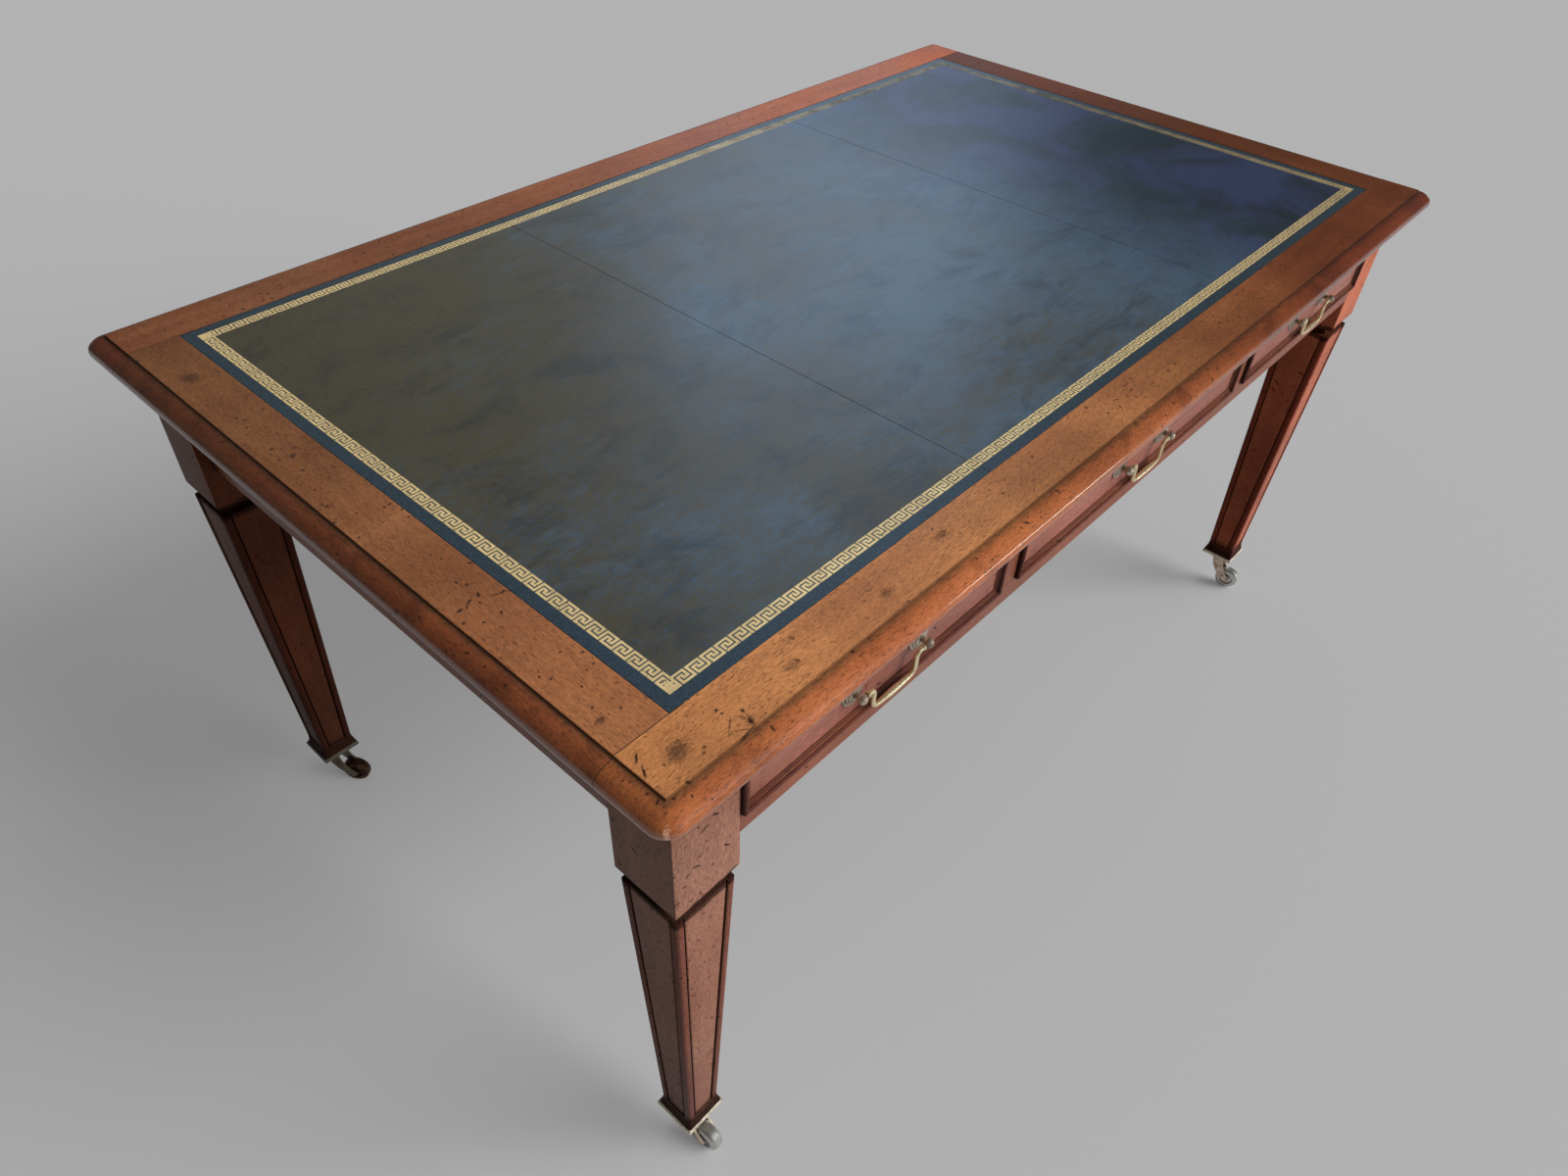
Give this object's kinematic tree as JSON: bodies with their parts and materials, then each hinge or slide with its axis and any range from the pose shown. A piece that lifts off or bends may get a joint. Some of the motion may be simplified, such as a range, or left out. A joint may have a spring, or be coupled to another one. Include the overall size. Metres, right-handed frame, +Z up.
{
  "type": "partners desk",
  "caption": "Rectangular leather-topped writing desk with drawers on both long sides, tapering sunk-panel legs and swivelling castors.",
  "frame": {"origin": "on the floor under the middle of the desk", "axes": "+X along the length, +Y from the front drawers to the back drawers, +Z up"},
  "size_m": [1.532, 0.918, 0.765],
  "materials": {
    "mahogany_top": "waxed mahogany, orange-brown, straight grain",
    "mahogany": "polished mahogany, red-brown",
    "moulding": "dark stained mahogany moulding",
    "inner_timber": "plain planed secondary timber",
    "leather": "blue-green leather with a gilt border, worn sheen",
    "brass": "polished brass, lightly tarnished",
    "castor_brass": "dull brown brass",
    "wheel_metal": "worn bright metal tread",
    "screw_steel": "plain steel"
  },
  "bodies": {
    "desk_frame": {"top_rail_front": "mahogany_top", "top_rail_back": "mahogany_top", "top_rail_left": "mahogany_top", "top_rail_right": "mahogany_top", "top_panel": "inner_timber", "writing_leather": "leather", "leg_front_left": "mahogany", "leg_front_right": "mahogany", "leg_back_left": "mahogany", "leg_back_right": "mahogany", "lower_rails": "mahogany", "upper_rails": "mahogany", "drawer_dividers": "mahogany", "end_apron_left": "mahogany", "end_apron_right": "mahogany", "centre_bearer": "inner_timber", "drawer_runners": "inner_timber", "drawer_kickers": "inner_timber", "drawer_guides": "inner_timber", "castor_plates": "brass", "castor_screws": "screw_steel"},
    "front_left_drawer": {"front_left_drawer_face": "mahogany", "front_left_drawer_moulding": "moulding", "front_left_drawer_box": "inner_timber", "front_left_handle_posts": "brass"},
    "front_left_bail": {"front_left_handle_bail": "brass"},
    "front_middle_drawer": {"front_middle_drawer_face": "mahogany", "front_middle_drawer_moulding": "moulding", "front_middle_drawer_box": "inner_timber", "front_middle_handle_posts": "brass"},
    "front_middle_bail": {"front_middle_handle_bail": "brass"},
    "front_right_drawer": {"front_right_drawer_face": "mahogany", "front_right_drawer_moulding": "moulding", "front_right_drawer_box": "inner_timber", "front_right_handle_posts": "brass"},
    "front_right_bail": {"front_right_handle_bail": "brass"},
    "back_left_drawer": {"back_left_drawer_face": "mahogany", "back_left_drawer_moulding": "moulding", "back_left_drawer_box": "inner_timber", "back_left_handle_posts": "brass"},
    "back_left_bail": {"back_left_handle_bail": "brass"},
    "back_middle_drawer": {"back_middle_drawer_face": "mahogany", "back_middle_drawer_moulding": "moulding", "back_middle_drawer_box": "inner_timber", "back_middle_handle_posts": "brass"},
    "back_middle_bail": {"back_middle_handle_bail": "brass"},
    "back_right_drawer": {"back_right_drawer_face": "mahogany", "back_right_drawer_moulding": "moulding", "back_right_drawer_box": "inner_timber", "back_right_handle_posts": "brass"},
    "back_right_bail": {"back_right_handle_bail": "brass"},
    "front_left_fork": {"front_left_castor_fork": "castor_brass"},
    "front_left_wheel": {"front_left_castor_wheel": "wheel_metal"},
    "front_right_fork": {"front_right_castor_fork": "castor_brass"},
    "front_right_wheel": {"front_right_castor_wheel": "wheel_metal"},
    "back_left_fork": {"back_left_castor_fork": "castor_brass"},
    "back_left_wheel": {"back_left_castor_wheel": "wheel_metal"},
    "back_right_fork": {"back_right_castor_fork": "castor_brass"},
    "back_right_wheel": {"back_right_castor_wheel": "wheel_metal"}
  },
  "joints": [
    {"name": "front_left_drawer_slide", "type": "slide", "parent": "desk_frame", "child": "front_left_drawer", "axis": [0, -1, 0], "range_m": [0, 0.32]},
    {"name": "front_left_bail_swing", "type": "hinge", "parent": "front_left_drawer", "child": "front_left_bail", "pos_m": [-0.46535, -0.434, 0.67675], "axis": [-1, 0, 0], "range_deg": [-12, 150]},
    {"name": "front_middle_drawer_slide", "type": "slide", "parent": "desk_frame", "child": "front_middle_drawer", "axis": [0, -1, 0], "range_m": [0, 0.32]},
    {"name": "front_middle_bail_swing", "type": "hinge", "parent": "front_middle_drawer", "child": "front_middle_bail", "pos_m": [0, -0.434, 0.67675], "axis": [-1, 0, 0], "range_deg": [-12, 150]},
    {"name": "front_right_drawer_slide", "type": "slide", "parent": "desk_frame", "child": "front_right_drawer", "axis": [0, -1, 0], "range_m": [0, 0.32]},
    {"name": "front_right_bail_swing", "type": "hinge", "parent": "front_right_drawer", "child": "front_right_bail", "pos_m": [0.46535, -0.434, 0.67675], "axis": [-1, 0, 0], "range_deg": [-12, 150]},
    {"name": "back_left_drawer_slide", "type": "slide", "parent": "desk_frame", "child": "back_left_drawer", "axis": [0, 1, 0], "range_m": [0, 0.32]},
    {"name": "back_left_bail_swing", "type": "hinge", "parent": "back_left_drawer", "child": "back_left_bail", "pos_m": [-0.46535, 0.434, 0.67675], "axis": [1, 0, 0], "range_deg": [-12, 150]},
    {"name": "back_middle_drawer_slide", "type": "slide", "parent": "desk_frame", "child": "back_middle_drawer", "axis": [0, 1, 0], "range_m": [0, 0.32]},
    {"name": "back_middle_bail_swing", "type": "hinge", "parent": "back_middle_drawer", "child": "back_middle_bail", "pos_m": [0, 0.434, 0.67675], "axis": [1, 0, 0], "range_deg": [-12, 150]},
    {"name": "back_right_drawer_slide", "type": "slide", "parent": "desk_frame", "child": "back_right_drawer", "axis": [0, 1, 0], "range_m": [0, 0.32]},
    {"name": "back_right_bail_swing", "type": "hinge", "parent": "back_right_drawer", "child": "back_right_bail", "pos_m": [0.46535, 0.434, 0.67675], "axis": [1, 0, 0], "range_deg": [-12, 150]},
    {"name": "front_left_castor_swivel", "type": "hinge", "parent": "desk_frame", "child": "front_left_fork", "pos_m": [-0.692, -0.385, 0.0735], "axis": [0, 0, 1], "continuous": true},
    {"name": "front_left_castor_roll", "type": "hinge", "parent": "front_left_fork", "child": "front_left_wheel", "pos_m": [-0.69026, -0.40994, 0.02], "axis": [0.9976, 0.0698, 0], "continuous": true},
    {"name": "front_right_castor_swivel", "type": "hinge", "parent": "desk_frame", "child": "front_right_fork", "pos_m": [0.692, -0.385, 0.0735], "axis": [0, 0, 1], "continuous": true},
    {"name": "front_right_castor_roll", "type": "hinge", "parent": "front_right_fork", "child": "front_right_wheel", "pos_m": [0.69677, -0.40954, 0.02], "axis": [0.9816, 0.1908, 0], "continuous": true},
    {"name": "back_left_castor_swivel", "type": "hinge", "parent": "desk_frame", "child": "back_left_fork", "pos_m": [-0.692, 0.385, 0.0735], "axis": [0, 0, 1], "continuous": true},
    {"name": "back_left_castor_roll", "type": "hinge", "parent": "back_left_fork", "child": "back_left_wheel", "pos_m": [-0.67766, 0.36452, 0.02], "axis": [0.8192, 0.5736, 0], "continuous": true},
    {"name": "back_right_castor_swivel", "type": "hinge", "parent": "desk_frame", "child": "back_right_fork", "pos_m": [0.692, 0.385, 0.0735], "axis": [0, 0, 1], "continuous": true},
    {"name": "back_right_castor_roll", "type": "hinge", "parent": "back_right_fork", "child": "back_right_wheel", "pos_m": [0.70055, 0.36151, 0.02], "axis": [0.9397, 0.342, 0], "continuous": true}
  ]
}
